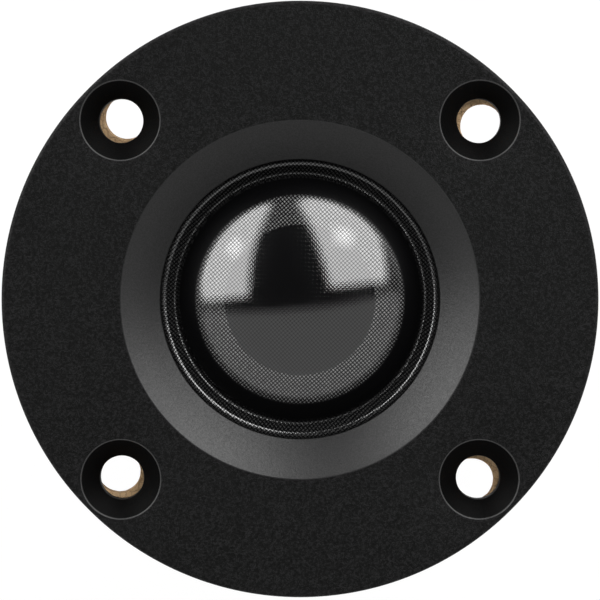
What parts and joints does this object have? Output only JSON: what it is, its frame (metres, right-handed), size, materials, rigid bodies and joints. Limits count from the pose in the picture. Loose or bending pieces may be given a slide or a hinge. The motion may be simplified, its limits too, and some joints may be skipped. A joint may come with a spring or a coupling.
{
  "type": "car tweeter",
  "caption": "Round flush-mount soft-dome tweeter: coated silk dome in a short conical waveguide, countersunk flange with a rear gasket, cup motor, rear chamber and blade terminals.",
  "frame": {"origin": "middle of the back face of the rear chamber, on the part's axis, in the plane the part rests on", "axes": "+Z along the axis out of the dome, +Y away from the terminals, +X to the right when the dome faces the viewer with the terminals at the bottom"},
  "size_m": [0.062, 0.062, 0.0247],
  "materials": {
    "moulded_black": "black moulded plastic, spark-eroded grain on the flat face and a smoother satin waveguide",
    "cork_gasket": "tan cork and rubber sheet, matt and mottled",
    "foam_seal": "closed-cell foam, matt",
    "coated_silk": "black woven silk under a glossy damping coat",
    "former_aluminium": "thin rolled sheet",
    "copper": "bare and enamelled copper",
    "dark_plastic": "glass-filled black plastic, fine grain",
    "zinc_steel": "clear zinc plate on turned and pressed steel",
    "magnet_nickel": "nickel plate on a sintered magnet",
    "felt": "pressed grey wool felt",
    "tinned_brass": "punched brass strip, lightly tinned"
  },
  "bodies": {
    "driver_body": {"faceplate": "moulded_black", "mounting_gasket": "cork_gasket", "clamp_seal": "foam_seal", "surround": "coated_silk", "diaphragm_ring": "dark_plastic", "lead_wire_positive": "copper", "lead_wire_negative": "copper", "steel_cup": "zinc_steel", "ring_magnet": "magnet_nickel", "pole_plate": "zinc_steel", "copper_cap": "copper", "pole_felt": "felt", "chassis": "dark_plastic", "chassis_screw_1": "zinc_steel", "chassis_screw_2": "zinc_steel", "chassis_screw_3": "zinc_steel", "chassis_screw_4": "zinc_steel", "rear_chamber": "dark_plastic", "chamber_felt": "felt", "terminal_positive": "tinned_brass", "terminal_negative": "tinned_brass"},
    "diaphragm": {"dome": "coated_silk", "voice_coil_former": "former_aluminium", "voice_coil_winding": "copper"}
  },
  "joints": [
    {"name": "dome_travel", "type": "slide", "parent": "driver_body", "child": "diaphragm", "axis": [0, 0, 1], "range_m": [-0.0005, 0.0005], "stiffness_N_per_m": 14000, "deforming": ["surround"]}
  ]
}
